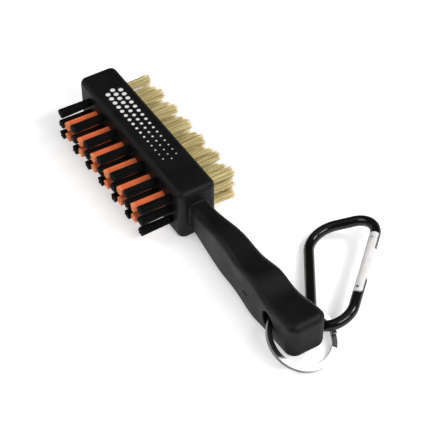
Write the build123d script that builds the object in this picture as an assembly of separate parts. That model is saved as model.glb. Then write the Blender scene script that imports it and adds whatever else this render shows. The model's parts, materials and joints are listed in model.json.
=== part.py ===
"""Golf club groove brush with nylon and brass bristles, a split ring and a snap carabiner.

Frame: millimetres, origin at the centre of the head's underside, +X towards the handle's
end, +Y towards the brass side, +Z towards the head's upper face.
"""
import os
from math import asin, atan2, cos, degrees, hypot, radians, sin, sqrt, tan

from build123d import *

# ---- head -------------------------------------------------------------------------
HEAD_LENGTH = 83.2
HEAD_WIDTH = 16.8
HEAD_THICKNESS = 24.5
HEAD_CORNER_R = 3.0
HEAD_EDGE_R = 2.4

# ---- handle -----------------------------------------------------------------------
HANDLE_LENGTH = 77.6
NECK_STEP = 4.4
END_WIDTH = 16.7
HANDLE_TOP_R = 3.0
HANDLE_UNDER_R = 3.4
HANDLE_END_R = 4.4
NECK_FILLET = 0.9
# Grip outline with two finger ridges, in shares of the handle's length and the head's
# thickness. The first point of each line lies inside the head.
GRIP_TOP = [(-0.077, 0.784), (0.134, 0.759), (0.345, 0.853), (0.477, 0.808), (0.642, 0.886),
            (0.742, 0.812), (0.844, 0.857), (1.0, 0.914)]
GRIP_UNDER = [(-0.077, 0.167), (0.116, 0.106), (0.345, 0.037), (0.464, 0.065), (0.637, 0.016),
              (0.735, 0.086), (0.838, 0.139), (1.0, 0.237)]
DIMPLE_LENGTH = 3.4
DIMPLE_WIDTH = 0.9
DIMPLE_DEPTH = 0.5
DIMPLE_FROM_HOLE = 17.0
DIMPLE_DROP = 2.25

# ---- ring hole --------------------------------------------------------------------
HOLE_DIA = 7.6
HOLE_DROP = 0.65
HOLE_RIM = 0.5

# ---- tufts ------------------------------------------------------------------------
OUTER_COLUMNS = 7
FIRST_COLUMN_MARGIN = 9.6
LAST_COLUMN_MARGIN = 7.6
ROW_PITCH = 5.78
TUFT_HOLE_DIA = 3.2
CORE_WALL = 4.0
TUFT_CLEARANCE = 0.03
NYLON_LENGTH = 14.2
NYLON_TIP_DIA = 4.7
BRASS_LENGTH = 12.6
BRASS_TIP_DIA = 4.9

# ---- anchors: flat wire staples that hold each tuft's fold ---------------------------
ANCHOR_BITE = 0.15
ANCHOR_HEIGHT = 1.5
ANCHOR_THICKNESS = 0.4
ANCHOR_SEAT = 0.5

# ---- split ring -------------------------------------------------------------------
RING_DIA = 28.0
RING_BAND = 2.0
RING_TURN = 0.94
RING_TURN_GAP = 0.06
RING_SEAT = 0.53
RING_DROP = 0.24
RING_YAW = 10.35
RING_ROLL = -2.7
END_ROOM = 5.73
LINK_ANGLE = 76.0
RING_STEP_ANGLE = 24.0
RING_STEP_START = 36.0

# ---- carabiner --------------------------------------------------------------------
ROD_DIA = 4.3
CLIP_LENGTH = 56.3
CLIP_TOP_WIDTH = 29.7
CLIP_FOOT = (15.0, 4.6)
CLIP_CORNER_R = 7.3
CLIP_FOOT_R = 10.4
CLIP_HEEL_R = 11.4
CLIP_NOSE_R = 8.0
# The loop's foot corner and its turns about X, Y and Z, from the ring's frame at the link.
CLIP_FROM_LINK = (-1.66, -9.62, -0.00)
CLIP_TURNS = (16.29, -39.72, 55.03)

# ---- gate: places are distances along the slanted side, from the foot corner ------------
PIVOT_AT = 13.7
LATCH_AT = 39.8
GATE_TOP_AT = 42.7
NOSE_GAP = 0.4
TONGUE_THICKNESS = 1.5
TONGUE_SIDE_GAP = 0.15
GATE_END_GAP = 0.4
STOP_LENGTH = 4.9
STOP_WIDTH = 0.85
SLOT_END_GAP = 0.5
HOOK_LIP = 3.8
PIVOT_PIN_DIA = 1.2
LATCH_PIN_DIA = 0.9
PIN_FIT = 0.05
PIN_PRESS = 0.01
NOTCH_FIT = 0.15
BORE_WALL = 1.0
SPRING_SIDE_GAP = 0.15
SPRING_WIRE_DIA = 0.34
SPRING_TURNS = 8
SPRING_LENGTH = 9.0
PLUNGER_LENGTH = 2.0
PLUNGER_GAP = 0.05

# ---- places worked out from the sizes above -------------------------------------------
HEAD_END = HEAD_LENGTH / 2
HANDLE_END = HEAD_END + HANDLE_LENGTH
MID_HEIGHT = HEAD_THICKNESS / 2
SIDE = HEAD_WIDTH / 2
NECK_WIDTH = HEAD_WIDTH - 2 * NECK_STEP
TUFT_HOLE_DEPTH = (HEAD_WIDTH - CORE_WALL) / 2
COLUMN_PITCH = (HEAD_LENGTH - FIRST_COLUMN_MARGIN - LAST_COLUMN_MARGIN) / (2 * OUTER_COLUMNS - 2)
HOLE_HEIGHT = MID_HEIGHT - HOLE_DROP
ROD_R = ROD_DIA / 2
RING_R = RING_DIA / 2
RING_STACK = 2 * RING_TURN + RING_TURN_GAP
SPRING_BORE_DIA = ROD_DIA - 2 * BORE_WALL
SPRING_DIA = SPRING_BORE_DIA - 2 * SPRING_SIDE_GAP
RING_REACH = RING_R - HOLE_DIA / 2 + RING_SEAT
HOLE_FROM_END = RING_REACH + RING_R - RING_BAND - END_ROOM
HOLE_X = HANDLE_END - HOLE_FROM_END


def handle_width(along):
    """Full width of the handle at a distance along it."""
    return NECK_WIDTH + (END_WIDTH - NECK_WIDTH) * along / HANDLE_LENGTH


def grip_point(along, height):
    """A point of the grip's outline from its shares of the length and the thickness."""
    return HEAD_END + along * HANDLE_LENGTH, height * HEAD_THICKNESS


def head_blank():
    """Head block with rounded corners and edges."""
    block = Pos(0, 0, MID_HEIGHT) * Box(HEAD_LENGTH, HEAD_WIDTH, HEAD_THICKNESS)
    block = fillet(block.edges().filter_by(Axis.Z), HEAD_CORNER_R)
    rims = block.faces().filter_by(Axis.Z).edges()
    return fillet(rims, HEAD_EDGE_R)


def handle_blank():
    """Tapered grip: the scalloped side outline crossed with the straight-sided plan."""
    top = [grip_point(*shares) for shares in GRIP_TOP]
    under = [grip_point(*shares) for shares in GRIP_UNDER]
    outline = [
        Line(under[0], top[0]),
        Spline(*top),
        Line(top[-1], under[-1]),
        Spline(*reversed(under)),
    ]
    slab = extrude(Plane.XZ * make_face(outline), HEAD_WIDTH, both=True)
    start = top[0][0]
    start_half = handle_width(start - HEAD_END) / 2
    plan_view = make_face(Polyline(
        (start, -start_half), (HANDLE_END, -END_WIDTH / 2), (HANDLE_END, END_WIDTH / 2),
        (start, start_half), close=True))
    grip = slab & extrude(plan_view, 2 * HEAD_THICKNESS, both=True)
    uprights = grip.edges().filter_by(Axis.Z).group_by(Axis.X)[-1]
    grip = fillet(uprights, HANDLE_END_R)
    grip = fillet(grip_rim(grip, 1), HANDLE_TOP_R)
    return fillet(grip_rim(grip, -1), HANDLE_UNDER_R)


def grip_rim(grip, upward):
    """Edges round the grip's top (1) or underside (-1), apart from the one inside the head."""
    flats = grip.faces().filter_by(lambda f: f.normal_at().Z * upward > 0.7)
    face = flats.sort_by(Axis.Z)[0 if upward < 0 else -1]
    return [edge for edge in face.edges() if edge.center().X > HEAD_END]


def tuft_places():
    """Column number, x and heights of each tuft column: 3 and 2 tufts in turn."""
    first = FIRST_COLUMN_MARGIN - HEAD_END
    places = []
    for column in range(2 * OUTER_COLUMNS - 1):
        rows = (-1, 0, 1) if column % 2 == 0 else (-0.5, 0.5)
        heights = [MID_HEIGHT + row * ROW_PITCH for row in rows]
        places.append((column, first + column * COLUMN_PITCH, heights))
    return places


def side_cylinder(side, x, z, radius, inner, outer):
    """Cylinder along Y between two distances from the middle plane; side is -1 or 1."""
    middle = side * (inner + outer) / 2
    return Pos(x, middle, z) * Rot(90, 0, 0) * Cylinder(radius, outer - inner)


def handle_body():
    """One moulding: head and handle, with blind tuft holes, the ring hole and a gate dimple."""
    body = head_blank() + handle_blank()
    junction = body.edges().filter_by(lambda e: abs(e.center().X - HEAD_END) < 0.01 and on_neck(e))
    body = fillet(junction, NECK_FILLET)
    hole_half = handle_width(HANDLE_LENGTH - HOLE_FROM_END) / 2
    hole = Pos(HOLE_X, 0, HOLE_HEIGHT) * Rot(90, 0, 0) * Cylinder(HOLE_DIA / 2, 4 * hole_half)
    body -= hole
    mouths = body.edges().filter_by(lambda e: is_hole_mouth(e, HOLE_X, HOLE_HEIGHT, HOLE_DIA / 2))
    body = fillet(mouths, HOLE_RIM)
    holes = []
    for side in (-1, 1):
        for _, x, heights in tuft_places():
            for z in heights:
                floor = SIDE - TUFT_HOLE_DEPTH
                holes.append(side_cylinder(side, x, z, TUFT_HOLE_DIA / 2, floor, SIDE + 1))
    body -= holes
    slot = SlotOverall(DIMPLE_LENGTH, DIMPLE_WIDTH)
    dimple_x = HOLE_X - DIMPLE_FROM_HOLE
    wall_y = -handle_width(dimple_x - HEAD_END) / 2
    floor_point = (dimple_x, wall_y + DIMPLE_DEPTH, MID_HEIGHT - DIMPLE_DROP)
    floor_plane = Plane(floor_point, x_dir=(1, 0, 0), z_dir=(0, -1, 0))
    return body - extrude(floor_plane * slot, 2 * DIMPLE_DEPTH)


def on_neck(edge):
    """True for an edge on the handle's outline rather than on the head's own rim."""
    middle = edge.center()
    inside_width = abs(middle.Y) < NECK_WIDTH / 2 + 0.1
    return inside_width and HEAD_EDGE_R < middle.Z < HEAD_THICKNESS - HEAD_EDGE_R


def is_hole_mouth(edge, x, z, radius):
    """True for the two curved edges where a cross hole breaks the side faces."""
    points = [edge @ 0.0, edge @ 0.5]
    on_wall = all(abs(hypot(p.X - x, p.Z - z) - radius) < 0.01 for p in points)
    return on_wall and abs(edge.center().Y) > 1 and edge.length > radius


def anchor(side, x, z):
    """Flat staple across the bottom of one tuft hole; its ends bite the wall."""
    length = TUFT_HOLE_DIA + 2 * ANCHOR_BITE
    bottom = SIDE - TUFT_HOLE_DEPTH + ANCHOR_SEAT
    middle = side * (bottom + ANCHOR_HEIGHT / 2)
    return Pos(x, middle, z) * Box(ANCHOR_THICKNESS, ANCHOR_HEIGHT, length)


def tuft(side, x, z, length, tip_dia):
    """Bristle bundle: a root that fills the hole and a free part that flares to the tip."""
    root_r = TUFT_HOLE_DIA / 2 - TUFT_CLEARANCE
    floor = SIDE - TUFT_HOLE_DEPTH + TUFT_CLEARANCE
    tip = SIDE + length
    profile = make_face(Polyline(
        (0, floor), (root_r, floor), (root_r, SIDE), (tip_dia / 2, tip), (0, tip), close=True))
    bundle = revolve(profile, Axis.Y)
    bundle = bundle if side > 0 else Rot(0, 0, 180) * bundle
    return Pos(x, 0, z) * bundle - anchor(side, x, z)


def tuft_columns():
    """Tuft columns of both sides by node name: nylon alternates black and orange."""
    nodes = {}
    for column, x, heights in tuft_places():
        colour = "black" if column % 2 == 0 else "orange"
        nylon = [tuft(-1, x, z, NYLON_LENGTH, NYLON_TIP_DIA) for z in heights]
        nodes[f"{colour}_tufts_{column // 2 + 1}"] = Compound(children=nylon)
        brass = [tuft(1, x, z, BRASS_LENGTH, BRASS_TIP_DIA) for z in heights]
        nodes[f"brass_tufts_{column + 1}"] = Compound(children=brass)
    return nodes


def anchors(side):
    """All the staples of one side."""
    staples = [anchor(side, x, z) for _, x, heights in tuft_places() for z in heights]
    return Compound(children=staples)


# ---- split ring ---------------------------------------------------------------------
def lowest_of_ring(tilt):
    """Height of the ring's lowest point when it slopes down from the hole by an angle."""
    slope = radians(tilt)
    roll = radians(RING_ROLL)
    outer = RING_R * hypot(sin(slope), cos(slope) * sin(roll))
    half_stack = RING_STACK / 2 * cos(slope) * cos(roll)
    return HOLE_HEIGHT - RING_DROP - RING_REACH * sin(slope) - outer - half_stack


def ring_tilt():
    """Angle below level at which the ring just touches the table, found by halving."""
    level, steep = 0.0, 80.0
    for _ in range(40):
        middle = (level + steep) / 2
        level, steep = (middle, steep) if lowest_of_ring(middle) > 0 else (level, middle)
    return level


def ring_location():
    """Place of the ring's centre: local X points away from the hole, down to the table."""
    slope = Rot(0, 0, RING_YAW) * Rot(0, ring_tilt(), 0) * Rot(RING_ROLL, 0, 0)
    return Pos(HOLE_X, 0, HOLE_HEIGHT - RING_DROP) * slope * Pos(RING_REACH, 0, 0)


def ring_section(angle, height):
    """The band's cross-section at an angle round the ring."""
    plane = Plane((0, 0, 0), x_dir=(cos(radians(angle)), sin(radians(angle)), 0),
                  z_dir=(-sin(radians(angle)), cos(radians(angle)), 0))
    return plane * Pos(RING_R - RING_BAND / 2, height) * Rectangle(RING_BAND, RING_TURN)


def split_ring():
    """Two flat turns of band, joined by a short step from the lower turn to the upper."""
    low = -(RING_TURN + RING_TURN_GAP) / 2
    sweep_angle = 360 - RING_STEP_ANGLE
    start = RING_STEP_START + RING_STEP_ANGLE
    turns = [revolve(ring_section(start, height), Axis.Z, sweep_angle) for height in (low, -low)]
    steps = 4
    step_start = RING_STEP_START
    sections = [ring_section(step_start + RING_STEP_ANGLE * i / steps, low - 2 * low * i / steps)
                for i in range(steps + 1)]
    ramp = loft(sections, ruled=True)
    return ring_location() * (turns[0] + ramp + turns[1])


# ---- carabiner ------------------------------------------------------------------------
def clip_location():
    """Local X runs across the loop to the gate, local Y up the long leg, Z out of the loop."""
    angle = radians(LINK_ANGLE)
    link = ring_location() * Pos(RING_R * cos(angle), RING_R * sin(angle))
    return link * Pos(*CLIP_FROM_LINK) * Rot(*CLIP_TURNS)


def gate_axis():
    """Local frame on the slanted side: X out of the loop, Y up the gate, Z out of the loop plane."""
    foot = Vector(*CLIP_FOOT)
    nose = Vector(CLIP_TOP_WIDTH, CLIP_LENGTH)
    slant = (nose - foot).normalized()
    return Plane(foot, x_dir=(slant.Y, -slant.X, 0), z_dir=(0, 0, 1)).location


def along_gate(distance, offset=0.0):
    """A place on the slanted side in the loop's frame."""
    return gate_axis() * Pos(offset, distance, 0)


def gate_cylinder(start, end, radius):
    """Cylinder along the slanted side."""
    return along_gate((start + end) / 2) * Rot(90, 0, 0) * Cylinder(radius, end - start)


def plate(start, end, left, right, thickness):
    """Flat block on the slanted side, in the loop's plane."""
    return along_gate((start + end) / 2, (left + right) / 2) * Box(right - left, end - start, thickness)


def pin(at, diameter, length):
    """Cylinder square to the loop's plane."""
    return along_gate(at) * Cylinder(diameter / 2, length)


def rounded_path(points, radii):
    """Open wire through the points, with one tangent arc at each inner point."""
    points = [Vector(*point) for point in points]
    edges = []
    here = points[0]
    for before, corner, after, radius in zip(points, points[1:], points[2:], radii):
        back = (before - corner).normalized()
        ahead = (after - corner).normalized()
        half = radians(back.get_angle(ahead)) / 2
        bisector = (back + ahead).normalized()
        arc_start = corner + back * (radius / tan(half))
        arc_end = corner + ahead * (radius / tan(half))
        arc_middle = corner + bisector * (radius / sin(half) - radius)
        edges.append(Line(here, arc_start))
        edges.append(ThreePointArc(arc_start, arc_middle, arc_end))
        here = arc_end
    edges.append(Line(here, points[-1]))
    return Wire(edges)


def cheeks(start, end):
    """The two blocks that are milled off a rod's end to leave a flat tongue."""
    reach = ROD_R - TONGUE_THICKNESS / 2 + 1
    lift = TONGUE_THICKNESS / 2 + reach / 2
    return [Pos(0, 0, side * lift) * plate(start, end, -ROD_DIA, ROD_DIA, reach) for side in (-1, 1)]


def carabiner_frame():
    """Bent rod, milled to a round-ended tongue at the gate's foot and to a hook at the nose."""
    foot_end = PIVOT_AT - ROD_R - GATE_END_GAP
    stop_end = PIVOT_AT + STOP_LENGTH
    nose_end = GATE_TOP_AT + NOSE_GAP
    hook_end = LATCH_AT - LATCH_PIN_DIA / 2 - PIN_FIT - HOOK_LIP
    tips = [along_gate(distance).position for distance in (stop_end, hook_end)]
    corners = [CLIP_FOOT, (0, 0), (0, CLIP_LENGTH), (CLIP_TOP_WIDTH, CLIP_LENGTH)]
    radii = [CLIP_FOOT_R, CLIP_CORNER_R, CLIP_HEEL_R, CLIP_NOSE_R]
    path = rounded_path([tips[0], *corners, tips[1]], radii)
    rod = sweep(Plane(path @ 0, z_dir=path % 0) * Circle(ROD_R), path)
    rod -= cheeks(foot_end, stop_end + 1)
    rod -= cheeks(hook_end - 1, nose_end)
    past_pivot = plate(PIVOT_AT, stop_end + 1, -ROD_DIA, ROD_R - STOP_WIDTH, ROD_DIA)
    rod -= past_pivot - pin(PIVOT_AT, ROD_DIA, 2 * ROD_DIA)
    rod -= pin(PIVOT_AT, PIVOT_PIN_DIA + 2 * PIN_FIT, ROD_DIA)
    notch_half = LATCH_PIN_DIA / 2 + NOTCH_FIT
    rod -= pin(LATCH_AT, 2 * notch_half, ROD_DIA)
    rod -= plate(LATCH_AT - notch_half, LATCH_AT + notch_half, -ROD_DIA, 0, ROD_DIA)
    return clip_location() * rod


def carabiner_gate():
    """Round gate, slotted at both ends over the frame's tongues and bored for its spring."""
    bottom = PIVOT_AT - ROD_R
    slot_width = TONGUE_THICKNESS + 2 * TONGUE_SIDE_GAP
    body = gate_cylinder(bottom, GATE_TOP_AT, ROD_R)
    below_pivot = plate(bottom - 1, PIVOT_AT, -ROD_DIA, ROD_DIA, 2 * ROD_DIA)
    body -= below_pivot - pin(PIVOT_AT, ROD_DIA, 3 * ROD_DIA)
    slot_top = PIVOT_AT + STOP_LENGTH + SLOT_END_GAP
    body -= plate(bottom - 1, slot_top, -ROD_DIA, ROD_DIA, slot_width)
    slot_end = LATCH_AT - LATCH_PIN_DIA / 2 - PIN_FIT - HOOK_LIP - SLOT_END_GAP
    body -= plate(slot_end, GATE_TOP_AT + 1, -ROD_DIA, ROD_DIA, slot_width)
    body -= gate_cylinder(PIVOT_AT + ROD_R, spring_start() + SPRING_LENGTH, SPRING_BORE_DIA / 2)
    for at, diameter in ((PIVOT_AT, PIVOT_PIN_DIA), (LATCH_AT, LATCH_PIN_DIA)):
        body -= pin(at, diameter - 2 * PIN_PRESS, 2 * ROD_DIA)
    return clip_location() * body


def gate_pin(at, diameter):
    """Pin pressed in the gate's ears, its ends flush with the round gate."""
    return clip_location() * (pin(at, diameter, ROD_DIA) & gate_cylinder(at - diameter, at + diameter, ROD_R))


def spring_start():
    """Where the spring meets the plunger."""
    return PIVOT_AT + ROD_R + PLUNGER_GAP + PLUNGER_LENGTH


def gate_plunger():
    """Small pusher between the spring and the foot tongue."""
    end = spring_start()
    return clip_location() * gate_cylinder(end - PLUNGER_LENGTH, end, SPRING_DIA / 2)


def gate_spring():
    """Coil spring in the gate's bore."""
    wire_r = SPRING_WIRE_DIA / 2
    height = SPRING_LENGTH - SPRING_WIRE_DIA - 0.1
    path = Helix(pitch=height / SPRING_TURNS, height=height, radius=SPRING_DIA / 2 - wire_r)
    wire = sweep(Plane(path @ 0, z_dir=path % 0) * Circle(wire_r), path, is_frenet=True)
    start = spring_start() + wire_r + 0.05
    return clip_location() * along_gate(start) * Rot(-90, 0, 0) * wire


def build():
    """All the nodes by name."""
    nodes = {"handle_body": handle_body()}
    nodes.update(tuft_columns())
    nodes["nylon_anchors"] = anchors(-1)
    nodes["brass_anchors"] = anchors(1)
    nodes["split_ring"] = split_ring()
    nodes["carabiner_frame"] = carabiner_frame()
    nodes["carabiner_gate"] = carabiner_gate()
    nodes["gate_pivot_pin"] = gate_pin(PIVOT_AT, PIVOT_PIN_DIA)
    nodes["gate_latch_pin"] = gate_pin(LATCH_AT, LATCH_PIN_DIA)
    nodes["gate_plunger"] = gate_plunger()
    nodes["gate_spring"] = gate_spring()
    return nodes


if __name__ == "__main__":
    os.makedirs("parts", exist_ok=True)
    for name, shape in build().items():
        export_step(shape, f"parts/{name}.step")
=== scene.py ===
"""Looks of a golf club groove brush: bristle tufts, soft plastic, split ring and snap hook."""

import json
from math import cos, radians, sin

import bpy
from bpy.props import FloatProperty, FloatVectorProperty, IntProperty, PointerProperty
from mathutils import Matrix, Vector

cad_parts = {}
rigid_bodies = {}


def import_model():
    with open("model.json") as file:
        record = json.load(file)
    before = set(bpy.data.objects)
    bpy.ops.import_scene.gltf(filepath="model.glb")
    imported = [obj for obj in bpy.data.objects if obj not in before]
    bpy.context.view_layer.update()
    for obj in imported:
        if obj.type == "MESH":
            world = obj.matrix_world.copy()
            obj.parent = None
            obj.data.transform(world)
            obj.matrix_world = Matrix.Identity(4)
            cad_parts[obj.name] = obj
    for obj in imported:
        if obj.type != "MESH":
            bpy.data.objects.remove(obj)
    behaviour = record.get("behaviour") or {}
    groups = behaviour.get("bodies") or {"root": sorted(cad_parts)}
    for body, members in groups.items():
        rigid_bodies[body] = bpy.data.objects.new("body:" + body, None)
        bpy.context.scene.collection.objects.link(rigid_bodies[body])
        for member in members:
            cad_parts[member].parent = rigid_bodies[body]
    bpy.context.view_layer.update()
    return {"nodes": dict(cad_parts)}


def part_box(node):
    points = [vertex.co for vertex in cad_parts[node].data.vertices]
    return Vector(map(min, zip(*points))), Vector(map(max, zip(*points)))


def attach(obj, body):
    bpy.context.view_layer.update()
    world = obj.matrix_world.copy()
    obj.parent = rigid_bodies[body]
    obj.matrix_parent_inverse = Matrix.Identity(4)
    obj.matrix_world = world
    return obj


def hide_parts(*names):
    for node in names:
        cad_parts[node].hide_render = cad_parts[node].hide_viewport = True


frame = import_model()

bl_info = {
    "name": "Groove Brush Looks",
    "version": (1, 0, 0),
    "blender": (4, 5, 0),
    "location": "3D View > Sidebar > Brush",
    "description": "Bristles and finishes for a golf club groove brush",
    "category": "Object",
}

# ---- places read from the frame, in metres ---------------------------------------------
HEAD_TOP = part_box("handle_body")[1].z
MM = 0.001


def rows_of(node):
    """Heights of the tufts of one column, from its box: three rows or two."""
    low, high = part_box(node)
    tip_half = (high.x - low.x) / 2
    outer = (high.z - low.z) / 2 - tip_half
    middle = (high.z + low.z) / 2
    three = outer > 1.5 * tip_half
    steps = (-1, 0, 1) if three else (-1, 1)
    return [middle + step * outer for step in steps]


# ---- sizes and colours that a user may change --------------------------------------------
def colour(name, description, default):
    """A colour property."""
    return FloatVectorProperty(name=name, description=description, default=default,
                               subtype="COLOR", size=3, min=0.0, max=1.0)


def length(name, description, default):
    """A small length property, in metres."""
    return FloatProperty(name=name, description=description, default=default, unit="LENGTH",
                         min=0.0, precision=5)


class BrushTufts(bpy.types.PropertyGroup):
    """Sizes and colours of the filaments."""
    nylon_count: IntProperty(name="Nylon filaments", description="Filaments in one nylon tuft",
                             default=56, min=3)
    nylon_wire: length("Nylon diameter", "Diameter of one nylon filament", 0.42 * MM)
    brass_count: IntProperty(name="Brass wires", description="Wires in one brass tuft",
                             default=58, min=3)
    brass_wire: length("Brass diameter", "Diameter of one brass wire", 0.22 * MM)
    black: colour("Black nylon", "Colour of the stiff outer filaments", (0.0012, 0.0012, 0.0012))
    orange: colour("Orange nylon", "Colour of the softer inner filaments", (1.0, 0.22, 0.075))
    brass: colour("Brass", "Colour of the brass wire", (1.0, 0.80, 0.38))
    brass_tip: colour("Cut brass", "Colour of the cut ends of the wire", (1.0, 0.86, 0.55))


class BrushFinishes(bpy.types.PropertyGroup):
    """Colours of the moulding and of the metal parts."""
    plastic: colour("Plastic", "Colour of the moulded head and handle", (0.0028, 0.0030, 0.0032))
    print_ink: colour("Printed mark", "Colour of the plain mark on the head", (0.85, 0.85, 0.84))
    rod: colour("Snap hook", "Colour of the coated rod", (0.0035, 0.0035, 0.003))
    nickel: colour("Split ring", "Colour of the nickel plating", (0.80, 0.78, 0.76))
    aluminium: colour("Gate", "Colour of the bare gate", (0.97, 0.95, 0.94))


class BrushStage(bpy.types.PropertyGroup):
    """Camera and light."""
    azimuth: FloatProperty(name="Azimuth", description="Camera's place round the brush",
                           default=radians(58.2), subtype="ANGLE")
    elevation: FloatProperty(name="Elevation", description="Camera's height above the floor",
                             default=radians(46.07), subtype="ANGLE")
    distance: length("Distance", "From the camera to the point it looks at", 0.5888)
    lens: FloatProperty(name="Lens", description="Focal length on a 36 mm sensor", default=123.17,
                        unit="CAMERA")


# ---- shader helpers ----------------------------------------------------------------------
class Wire:
    """A shader socket on which Python arithmetic adds Math nodes."""

    def __init__(self, finish, socket):
        self.finish = finish
        self.socket = socket

    def math(self, operation, *values):
        return self.finish.node("ShaderNodeMath", {"operation": operation}, dict(enumerate(values)))

    def __add__(self, other):
        return self.math("ADD", self, other)

    def __sub__(self, other):
        return self.math("SUBTRACT", self, other)

    def __rsub__(self, other):
        return self.math("SUBTRACT", other, self)

    def __mul__(self, other):
        return self.math("MULTIPLY", self, other)

    def __truediv__(self, other):
        return self.math("DIVIDE", self, other)

    def __abs__(self):
        return self.math("ABSOLUTE", self)

    __radd__ = __add__
    __rmul__ = __mul__

    def step(self, low, high, start=0.0, end=1.0):
        """Smooth change from start to end as the value goes from low to high."""
        values = {"Value": self, "From Min": low, "From Max": high, "To Min": start, "To Max": end}
        return self.finish.node("ShaderNodeMapRange", {"interpolation_type": "SMOOTHSTEP"}, values)


class Finish:
    """A material and the nodes that make it."""

    def __init__(self, name):
        self.material = bpy.data.materials.new(name)
        self.material.use_nodes = True
        self.tree = self.material.node_tree
        self.shader = self.tree.nodes["Principled BSDF"]

    def node(self, kind, settings=None, inputs=None, output=0):
        """Adds a node: its settings first, then its inputs; gives the wanted output."""
        node = self.tree.nodes.new(kind)
        for name, value in (settings or {}).items():
            setattr(node, name, value)
        for name, value in (inputs or {}).items():
            self.join(node.inputs[name], value)
        return Wire(self, node.outputs[output])

    def join(self, socket, value):
        """Links a wire to a socket, or sets the socket's value."""
        if isinstance(value, Wire):
            self.tree.links.new(value.socket, socket)
        else:
            socket.default_value = value

    def set(self, **values):
        """Sets or links the shader's own sockets; underscores stand for spaces."""
        for name, value in values.items():
            self.join(self.shader.inputs[name.replace("_", " ")], value)
        return self

    def place(self):
        """Object coordinates."""
        return self.node("ShaderNodeTexCoord", output="Object")

    def stretched(self, scale):
        """Object coordinates, scaled along each axis."""
        values = {"Vector": self.place(), "Scale": scale}
        return self.node("ShaderNodeMapping", inputs=values)

    def parts(self, vector):
        """The three numbers of a vector."""
        node = self.node("ShaderNodeSeparateXYZ", inputs={"Vector": vector}).socket.node
        return [Wire(self, socket) for socket in node.outputs]

    def attribute(self, name):
        """A number stored on the mesh."""
        return self.node("ShaderNodeAttribute", {"attribute_name": name}, output="Fac")

    def noise(self, scale, detail=3.0, roughness=0.5, vector=None):
        """Noise from 0 to 1 with about that many bumps per metre."""
        values = {"Vector": vector or self.place(), "Scale": scale, "Detail": detail,
                  "Roughness": roughness}
        return self.node("ShaderNodeTexNoise", inputs=values)

    def mix(self, factor, first, second):
        """Colour mix."""
        values = {0: factor, 6: with_alpha(first), 7: with_alpha(second)}
        return self.node("ShaderNodeMix", {"data_type": "RGBA"}, values, output=2)

    def bump(self, height, distance, strength=1.0):
        """Fine relief for the Normal socket; the distance is in metres."""
        values = {"Height": height, "Distance": distance, "Strength": strength}
        return self.node("ShaderNodeBump", inputs=values)


def with_alpha(value):
    """A colour as four numbers, or a wire as it is."""
    return value if isinstance(value, Wire) else (*value[:3], 1.0)


# ---- finishes ------------------------------------------------------------------------------
def soft_plastic(look):
    """Matt black moulding with a fine grain and a plain printed mark of fading dots."""
    finish = Finish("soft_black_plastic")
    x, y, z = finish.parts(finish.place())
    cloud = finish.noise(90.0, 2.0)
    grain = finish.noise(5200.0, 2.0, 0.6)
    lighter = tuple(1.7 * value + 0.002 for value in look.plastic)
    base = finish.mix(cloud.step(0.35, 0.75) * 0.55, look.plastic, lighter)
    mark = printed_dots(finish, x, y, z)
    finish.set(
        Base_Color=finish.mix(mark, base, look.print_ink),
        Roughness=cloud.step(0.3, 0.7, 0.46, 0.58) + grain * 0.04,
        Specular_IOR_Level=0.22,
        Normal=finish.bump(grain + mark * 3.0, 0.00001, 0.5))
    return finish.material


DOT_PITCH = 3.0 * MM
DOT_ROWS = 3
DOT_START = -28.0 * MM
DOT_END = 22.0 * MM
DOT_LARGE = 1.05 * MM
DOT_SMALL = 0.3 * MM


def printed_dots(finish, x, y, z):
    """Mask of round dots on the head's top, in staggered rows that get smaller along it."""
    row = (y / DOT_PITCH).math("ROUND", y / DOT_PITCH)
    shift = row.math("MODULO", abs(row), 2.0) * 0.5
    along = x / DOT_PITCH + shift
    column = along.math("ROUND", along)
    from_x = (along - column) * DOT_PITCH
    from_y = y - row * DOT_PITCH
    away = from_x.math("SQRT", from_x * from_x + from_y * from_y)
    middle = (column - shift) * DOT_PITCH
    radius = middle.step(DOT_START, DOT_END, DOT_LARGE, DOT_SMALL)
    dot = (away - radius).step(-0.04 * MM, 0.04 * MM, 1.0, 0.0)
    inside = abs(middle - (DOT_START + DOT_END) / 2).step(
        (DOT_END - DOT_START) / 2, (DOT_END - DOT_START) / 2 + 0.01 * MM, 1.0, 0.0)
    in_rows = abs(row).step(DOT_ROWS // 2 + 0.1, DOT_ROWS // 2 + 0.2, 1.0, 0.0)
    on_top = z.step(HEAD_TOP - 0.02 * MM, HEAD_TOP - 0.01 * MM)
    return dot * inside * in_rows * on_top


def filament(name, dark, light, cut, roughness, gloss, metallic=0.0):
    """Filament finish: a random tone for each filament, a cut tip and painted shade that darkens
    the root.
    """
    finish = Finish(name)
    shade = finish.attribute("shade")
    tip = finish.attribute("tip")
    # Painted shade: a mask that is strongest at the root and fades out by 45% of the length, where
    # packed filaments shade each other.
    root = tip.step(0.0, 0.45, 0.45, 0.0)
    body = finish.mix(shade, dark, light)
    body = finish.mix(tip.step(0.92, 1.0), body, cut)
    # Mixes the painted root shade into the colour, down to 0.4 of the dark tone.
    body = finish.mix(root, body, tuple(value * 0.4 for value in dark))
    finish.set(Base_Color=body, Roughness=shade * 0.08 + roughness, Metallic=metallic)
    return finish.set(Specular_IOR_Level=gloss)


def black_nylon(look):
    """Black bristles with little shine."""
    light = tuple(value * 2.5 for value in look.black)
    return filament("black_nylon", look.black, light, light, 0.45, 0.12).material


def orange_nylon(look):
    """Translucent orange bristles."""
    dark = tuple(value * 0.8 for value in look.orange)
    cut = (1.0, look.orange[1] * 1.7, look.orange[2] * 2.2)
    finish = filament("orange_nylon", dark, look.orange, cut, 0.4, 0.3)
    return finish.set(Subsurface_Weight=0.25, Subsurface_Radius=(1.0, 0.3, 0.1),
                      Subsurface_Scale=0.0008).material


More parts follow.
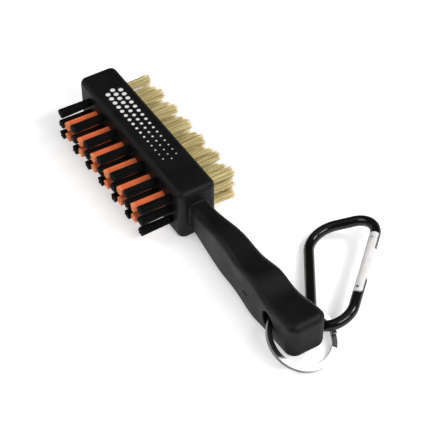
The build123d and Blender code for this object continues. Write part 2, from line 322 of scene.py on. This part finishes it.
def brass_wire(look):
    """Drawn brass wire, brighter and browner from wire to wire."""
    dark = (look.brass[0] * 0.45, look.brass[1] * 0.36, look.brass[2] * 0.22)
    light = (min(1.0, look.brass[0] * 1.1), min(1.0, look.brass[1] * 1.15), look.brass[2] * 1.3)
    return filament("brass_wire", dark, light, look.brass_tip, 0.34, 0.5, 0.3).material


def coated_rod(look):
    """Black coated aluminium rod, smooth and glossy with a trace of orange peel."""
    finish = Finish("black_anodised")
    peel = finish.noise(900.0, 2.0)
    smear = finish.noise(140.0, 3.0)
    dusty = tuple(value + 0.006 for value in look.rod)
    finish.set(
        Base_Color=finish.mix(smear.step(0.4, 0.8) * 0.5, look.rod, dusty),
        Roughness=smear.step(0.3, 0.8, 0.14, 0.24),
        Normal=finish.bump(peel, 0.00002, 0.25),
        Specular_IOR_Level=0.4)
    return finish.material


def plated(name, tint, rough, grain_scale, metallic=1.0):
    """Bright metal with fine lines along one direction and slight darker smears."""
    finish = Finish(name)
    lines = finish.noise(1.0, 4.0, 0.6, finish.stretched(grain_scale))
    smear = finish.noise(220.0, 3.0)
    duller = tuple(value * 0.82 for value in tint)
    finish.set(
        Base_Color=finish.mix(smear.step(0.35, 0.75) * 0.7, tint, duller),
        Metallic=metallic,
        Roughness=lines.step(0.3, 0.7, rough, rough + 0.12),
        Normal=finish.bump(lines, 0.000004, 0.3))
    return finish.material


def nickel_plating(look):
    """Bright plating of the split ring."""
    plate = tuple(value * 0.24 for value in look.nickel)
    return plated("nickel_plated_steel", plate, 0.22, (60.0, 60.0, 200.0))


def turned_aluminium(look):
    """Bare gate with fine marks round it."""
    return plated("bare_aluminium", look.aluminium, 0.32, (400.0, 3000.0, 3000.0), 0.15)


def pin_steel(look):
    """Ground steel of the small pins."""
    return plated("pin_steel", tuple(value * 0.85 for value in look.nickel), 0.3, (3000.0,) * 3)


def spring_steel(look):
    """Darker drawn wire of the gate's spring."""
    return plated("spring_steel", tuple(value * 0.6 for value in look.nickel), 0.32, (2500.0,) * 3)


def staple_steel(look):
    """Galvanised flat wire of the tuft staples."""
    return plated("anchor_steel", tuple(value * 0.7 for value in look.nickel), 0.4, (1800.0,) * 3)


# ---- bristles ------------------------------------------------------------------------------
class Recipe:
    """A Geometry Nodes tree with named inputs, and short calls that add its nodes."""

    def __init__(self, name, inputs):
        self.tree = bpy.data.node_groups.new(name, "GeometryNodeTree")
        self.ids = {}
        for label, kind in inputs:
            item = self.tree.interface.new_socket(label, in_out="INPUT", socket_type=kind)
            self.ids[label] = item.identifier
        self.tree.interface.new_socket("Geometry", in_out="OUTPUT",
                                       socket_type="NodeSocketGeometry")
        self.entry = self.tree.nodes.new("NodeGroupInput")
        self.exit = self.tree.nodes.new("NodeGroupOutput")

    def value(self, label):
        """One of the tree's named inputs."""
        return self.entry.outputs[label]

    def add(self, kind, settings=None, inputs=None, output=0):
        """Adds a node: its settings first, then its inputs; gives the wanted output."""
        node = self.tree.nodes.new(kind)
        for name, value in (settings or {}).items():
            setattr(node, name, value)
        for name, value in (inputs or {}).items():
            if isinstance(value, bpy.types.NodeSocket):
                self.tree.links.new(value, node.inputs[name])
            else:
                node.inputs[name].default_value = value
        return node.outputs[output]

    def math(self, operation, *values):
        """Number maths."""
        return self.add("ShaderNodeMath", {"operation": operation}, dict(enumerate(values)))

    def vector(self, x=0.0, y=0.0, z=0.0):
        """A vector from three numbers."""
        return self.add("ShaderNodeCombineXYZ", inputs={"X": x, "Y": y, "Z": z})

    def vector_math(self, operation, first, second):
        """Vector maths on two vectors."""
        return self.add("ShaderNodeVectorMath", {"operation": operation}, {0: first, 1: second})

    def scaled(self, vector, factor):
        """A vector times a number."""
        values = {0: vector, "Scale": factor}
        return self.add("ShaderNodeVectorMath", {"operation": "SCALE"}, values)

    def chance(self, seed, low=0.0, high=1.0):
        """A random number for each point."""
        values = {2: low, 3: high, "Seed": self.math("ADD", self.value("Seed"), float(seed))}
        return self.add("FunctionNodeRandomValue", {"data_type": "FLOAT"}, values, output=1)

    def scatter(self, seed, reach):
        """A random sideways vector for each point."""
        below = self.math("MULTIPLY", reach, -1.0)
        x = self.chance(seed, below, reach)
        z = self.chance(seed + 1, below, reach)
        return self.vector(x, 0.0, z)

    def stored(self, name, kind="FLOAT"):
        """A value stored on the points."""
        return self.add("GeometryNodeInputNamedAttribute", {"data_type": kind}, {"Name": name})

    def store(self, geometry, name, value, kind="FLOAT"):
        """Stores a value on the points."""
        values = {"Geometry": geometry, "Name": name, "Value": value}
        settings = {"data_type": kind, "domain": "POINT"}
        return self.add("GeometryNodeStoreNamedAttribute", settings, values)


GOLDEN_ANGLE = radians(137.508)
SEGMENTS = 6
SECTION_SIDES = 5
WAVE_TURN = 7.0
FULL_TURN = 6.28


def tuft_recipe():
    """Filaments packed in each tuft hole that lean outwards to their cut tips."""
    number = "NodeSocketFloat"
    recipe = Recipe("tuft_filaments", [
        ("Geometry", "NodeSocketGeometry"), ("Filaments", "NodeSocketInt"), ("Side", number),
        ("Root Radius", number), ("Tip Radius", number), ("Length", number), ("Uneven", number),
        ("Stray", number), ("Crimp", number), ("Flare", number), ("Diameter", number),
        ("Seed", "NodeSocketInt"), ("Material", "NodeSocketMaterial")])
    value = recipe.value
    points = recipe.add("GeometryNodeMeshToPoints", inputs={"Mesh": value("Geometry")})
    copies = recipe.add("GeometryNodeDuplicateElements", {"domain": "POINT"},
                        {"Geometry": points, "Amount": value("Filaments")})
    number_in_tuft = copies.node.outputs["Duplicate Index"]
    share = recipe.math("DIVIDE", recipe.math("ADD", number_in_tuft, 0.5), value("Filaments"))
    spread = recipe.math("SQRT", share)
    turn = recipe.math("MULTIPLY", number_in_tuft, GOLDEN_ANGLE)
    outward = recipe.vector(recipe.math("COSINE", turn), 0.0, recipe.math("SINE", turn))
    outward = recipe.scaled(outward, spread)
    root = recipe.scaled(outward, value("Root Radius"))
    tip = recipe.scaled(outward, value("Tip Radius"))
    tip = recipe.vector_math("ADD", tip, recipe.scatter(11, value("Stray")))
    lean = recipe.vector_math("SUBTRACT", tip, root)
    short = recipe.math("MULTIPLY", recipe.chance(21), value("Uneven"))
    reach = recipe.math("MULTIPLY", value("Length"), recipe.math("SUBTRACT", 1.0, short))
    copies = recipe.store(copies, "lean", lean, "FLOAT_VECTOR")
    copies = recipe.store(copies, "reach", reach)
    copies = recipe.store(copies, "shade", recipe.chance(31))
    copies = recipe.store(copies, "sway", recipe.scatter(41, value("Crimp")), "FLOAT_VECTOR")
    copies = recipe.store(copies, "phase", recipe.chance(51, 0.0, FULL_TURN))
    copies = recipe.add("GeometryNodeSetPosition", inputs={"Geometry": copies, "Offset": root})
    seedling = recipe.add("GeometryNodeCurvePrimitiveLine", inputs={"End": (0.0, MM, 0.0)})
    seedling = recipe.add("GeometryNodeResampleCurve",
                          inputs={"Curve": seedling, "Count": SEGMENTS + 1})
    grown = recipe.add("GeometryNodeInstanceOnPoints",
                       inputs={"Points": copies, "Instance": seedling})
    grown = recipe.add("GeometryNodeRealizeInstances", inputs={"Geometry": grown})
    place = recipe.add("GeometryNodeSplineParameter", output="Index")
    along = recipe.math("DIVIDE", place, float(SEGMENTS))
    bow = recipe.math("POWER", along, value("Flare"))
    rise = recipe.math("MULTIPLY", recipe.stored("reach"), along)
    rise = recipe.math("MULTIPLY", rise, value("Side"))
    rise = recipe.math("SUBTRACT", rise, recipe.math("MULTIPLY", along, MM))
    wave = recipe.math("SINE", recipe.math("ADD", recipe.math("MULTIPLY", along, WAVE_TURN),
                                           recipe.stored("phase")))
    wave = recipe.math("MULTIPLY", wave, along)
    offset = recipe.vector_math("ADD", recipe.scaled(recipe.stored("lean", "FLOAT_VECTOR"), bow),
                                recipe.scaled(recipe.stored("sway", "FLOAT_VECTOR"), wave))
    offset = recipe.vector_math("ADD", offset, recipe.vector(0.0, rise, 0.0))
    grown = recipe.add("GeometryNodeSetPosition", inputs={"Geometry": grown, "Offset": offset})
    grown = recipe.store(grown, "tip", along)
    radius = recipe.math("MULTIPLY", value("Diameter"), 0.5)
    section = recipe.add("GeometryNodeCurvePrimitiveCircle", {"mode": "RADIUS"},
                         {"Resolution": SECTION_SIDES, "Radius": radius})
    solid = recipe.add("GeometryNodeCurveToMesh",
                       inputs={"Curve": grown, "Profile Curve": section, "Fill Caps": True})
    solid = recipe.add("GeometryNodeRealizeInstances", inputs={"Geometry": solid})
    solid = recipe.add("GeometryNodeSetMaterial",
                       inputs={"Geometry": solid, "Material": value("Material")})
    recipe.tree.links.new(solid, recipe.exit.inputs[0])
    return recipe


def new_piece(name, mesh):
    """An object at the origin that holds a mesh."""
    piece = bpy.data.objects.new(name, mesh)
    bpy.context.scene.collection.objects.link(piece)
    return piece


def grow_tufts(recipe, node, side, material, sizes, seed):
    """Makes the filaments of one column, and lets them stand for its plain tufts."""
    low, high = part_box(node)
    x = (low.x + high.x) / 2
    floor_y = low.y if side > 0 else high.y
    mesh = bpy.data.meshes.new(node + "_roots")
    mesh.from_pydata([(x, floor_y, z) for z in rows_of(node)], [], [])
    roots = new_piece(node + "_roots", mesh)
    modifier = roots.modifiers.new("filaments", "NODES")
    modifier.node_group = recipe.tree
    tip_radius = (high.x - low.x) / 2
    values = {"Side": float(side), "Length": high.y - low.y, "Seed": seed, "Material": material,
              "Tip Radius": tip_radius - sizes["Diameter"], **sizes}
    for label, value in values.items():
        modifier[recipe.ids[label]] = value
    evaluated = roots.evaluated_get(bpy.context.evaluated_depsgraph_get())
    grown = bpy.data.meshes.new_from_object(evaluated)
    bpy.data.objects.remove(roots)
    piece = new_piece(node + "_filaments", grown)
    for polygon in grown.polygons:
        polygon.use_smooth = True
    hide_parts(node)
    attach(piece, "brush")


# ---- operators -----------------------------------------------------------------------------
def repaint(finishes):
    """Gives CAD nodes their finish: {node: material}."""
    for node, material in finishes.items():
        for slot in frame["nodes"][node].material_slots:
            slot.material = material


class BRUSH_OT_body(bpy.types.Operator):
    """Finish the moulded head and handle and the staples inside it"""
    bl_idname = "brush.body"
    bl_label = "Head and Handle"

    def execute(self, context):
        look = context.scene.brush_finishes
        staples = staple_steel(look)
        repaint({"handle_body": soft_plastic(look), "nylon_anchors": staples,
                 "brass_anchors": staples})
        return {"FINISHED"}


def columns(prefix):
    """Names of the CAD columns that start with the prefix, in order."""
    names = [name for name in frame["nodes"] if name.startswith(prefix)]
    return sorted(names, key=lambda name: int(name.rsplit("_", 1)[1]))


class BRUSH_OT_nylon(bpy.types.Operator):
    """Grow the black and orange nylon tufts"""
    bl_idname = "brush.nylon"
    bl_label = "Nylon Tufts"

    def execute(self, context):
        look = context.scene.brush_tufts
        recipe = tuft_recipe()
        sizes = {"Filaments": look.nylon_count, "Diameter": look.nylon_wire,
                 "Root Radius": 1.4 * MM, "Uneven": 0.025, "Stray": 0.06 * MM, "Crimp": 0.0,
                 "Flare": 0.75}
        for prefix, material in (("black_tufts_", black_nylon(look)),
                                 ("orange_tufts_", orange_nylon(look))):
            for seed, node in enumerate(columns(prefix)):
                grow_tufts(recipe, node, -1, material, sizes, seed)
        return {"FINISHED"}


class BRUSH_OT_brass(bpy.types.Operator):
    """Grow the brass wire tufts"""
    bl_idname = "brush.brass"
    bl_label = "Brass Tufts"

    def execute(self, context):
        look = context.scene.brush_tufts
        recipe = tuft_recipe()
        material = brass_wire(look)
        sizes = {"Filaments": look.brass_count, "Diameter": look.brass_wire,
                 "Root Radius": 1.42 * MM, "Uneven": 0.06, "Stray": 0.35 * MM, "Crimp": 0.16 * MM,
                 "Flare": 1.1}
        for seed, node in enumerate(columns("brass_tufts_")):
            grow_tufts(recipe, node, 1, material, sizes, 100 + seed)
        return {"FINISHED"}


class BRUSH_OT_ring(bpy.types.Operator):
    """Finish the split ring"""
    bl_idname = "brush.ring"
    bl_label = "Split Ring"

    def execute(self, context):
        repaint({"split_ring": nickel_plating(context.scene.brush_finishes)})
        return {"FINISHED"}


class BRUSH_OT_hook(bpy.types.Operator):
    """Finish the snap hook, its gate, pins, plunger and spring"""
    bl_idname = "brush.hook"
    bl_label = "Snap Hook"

    def execute(self, context):
        look = context.scene.brush_finishes
        pins = pin_steel(look)
        repaint({"carabiner_frame": coated_rod(look), "carabiner_gate": turned_aluminium(look),
                 "gate_pivot_pin": pins, "gate_latch_pin": pins, "gate_plunger": pins,
                 "gate_spring": spring_steel(look)})
        return {"FINISHED"}


VIEW_POINT = Vector((0.0496, 0.0048, 0.012))
FLOOR_HALF = 6.0
# Name, direction it shines from, distance, width, height and power.
LIGHTS = (
    ("ceiling", (0.0, 0.0, 1.0), 1.2, 1.4, 1.4, 2.4),
    ("front_strip", (0.69, 0.08, 0.72), 0.9, 0.5, 0.16, 3.8),
    ("side_box", (0.30, 0.62, 0.72), 0.9, 0.22, 0.22, 2.8),
    ("left_fill", (-0.35, -0.72, 0.60), 1.1, 0.7, 0.5, 3.6),
)


def soft_light(name, direction, distance, width, height, power):
    """A rectangular area light that shines at the view point from a direction."""
    lamp = bpy.data.lights.new(name, "AREA")
    lamp.shape = "RECTANGLE"
    lamp.size = width
    lamp.size_y = height
    lamp.energy = power
    light = bpy.data.objects.new(name, lamp)
    away = Vector(direction).normalized()
    light.location = VIEW_POINT + away * distance
    light.rotation_euler = (-away).to_track_quat("-Z", "Y").to_euler()
    bpy.context.scene.collection.objects.link(light)


class BRUSH_OT_stage(bpy.types.Operator):
    """Set the floor, the lights and the camera"""
    bl_idname = "brush.stage"
    bl_label = "Stage"

    def execute(self, context):
        scene = context.scene
        look = scene.brush_stage
        floor_mesh = bpy.data.meshes.new("floor")
        signs = ((-1, -1), (1, -1), (1, 1), (-1, 1))
        corners = [(x * FLOOR_HALF, y * FLOOR_HALF, 0) for x, y in signs]
        floor_mesh.from_pydata(corners, [], [(0, 1, 2, 3)])
        paper = Finish("white_paper").set(Base_Color=(0.9, 0.9, 0.9, 1.0), Roughness=0.9)
        paper.set(Emission_Color=(1.0, 1.0, 1.0, 1.0), Emission_Strength=0.45)
        floor_mesh.materials.append(paper.material)
        floor = new_piece("floor", floor_mesh)
        world = bpy.data.worlds.new("studio")
        world.use_nodes = True
        background = world.node_tree.nodes["Background"]
        background.inputs["Color"].default_value = (1.0, 1.0, 1.0, 1.0)
        background.inputs["Strength"].default_value = 0.06
        scene.world = world
        for light in LIGHTS:
            soft_light(*light)
        camera_data = bpy.data.cameras.new("camera")
        camera_data.lens = look.lens
        camera_data.sensor_width = 36.0
        camera = bpy.data.objects.new("camera", camera_data)
        flat = cos(look.elevation) * look.distance
        offset = Vector((flat * sin(look.azimuth), -flat * cos(look.azimuth),
                         sin(look.elevation) * look.distance))
        camera.location = VIEW_POINT + offset
        camera.rotation_euler = (-offset).to_track_quat("-Z", "Y").to_euler()
        scene.collection.objects.link(camera)
        scene.camera = camera
        scene.view_settings.view_transform = "Standard"
        return {"FINISHED"}


OPERATORS = (BRUSH_OT_stage, BRUSH_OT_body, BRUSH_OT_nylon, BRUSH_OT_brass, BRUSH_OT_ring,
             BRUSH_OT_hook)
GROUPS = {"brush_tufts": BrushTufts, "brush_finishes": BrushFinishes, "brush_stage": BrushStage}


class BRUSH_PT_looks(bpy.types.Panel):
    """Sizes, colours and steps of the brush's looks"""
    bl_label = "Groove Brush"
    bl_space_type = "VIEW_3D"
    bl_region_type = "UI"
    bl_category = "Brush"

    def draw(self, context):
        for name, group in GROUPS.items():
            box = self.layout.box()
            for key in group.__annotations__:
                box.prop(getattr(context.scene, name), key)
        for operator in OPERATORS:
            self.layout.operator(operator.bl_idname)


def register():
    """Registers the classes and puts their settings on the scene."""
    for item in (*GROUPS.values(), *OPERATORS, BRUSH_PT_looks):
        bpy.utils.register_class(item)
    for name, group in GROUPS.items():
        setattr(bpy.types.Scene, name, PointerProperty(type=group))


def unregister():
    """Takes the settings and the classes away again."""
    for name in GROUPS:
        delattr(bpy.types.Scene, name)
    for item in (BRUSH_PT_looks, *reversed(OPERATORS), *GROUPS.values()):
        bpy.utils.unregister_class(item)


def main():
    """Registers the classes, then makes the stage and every piece."""
    register()
    for operator in OPERATORS:
        group, name = operator.bl_idname.split(".")
        getattr(getattr(bpy.ops, group), name)()


if __name__ == "__main__":
    main()
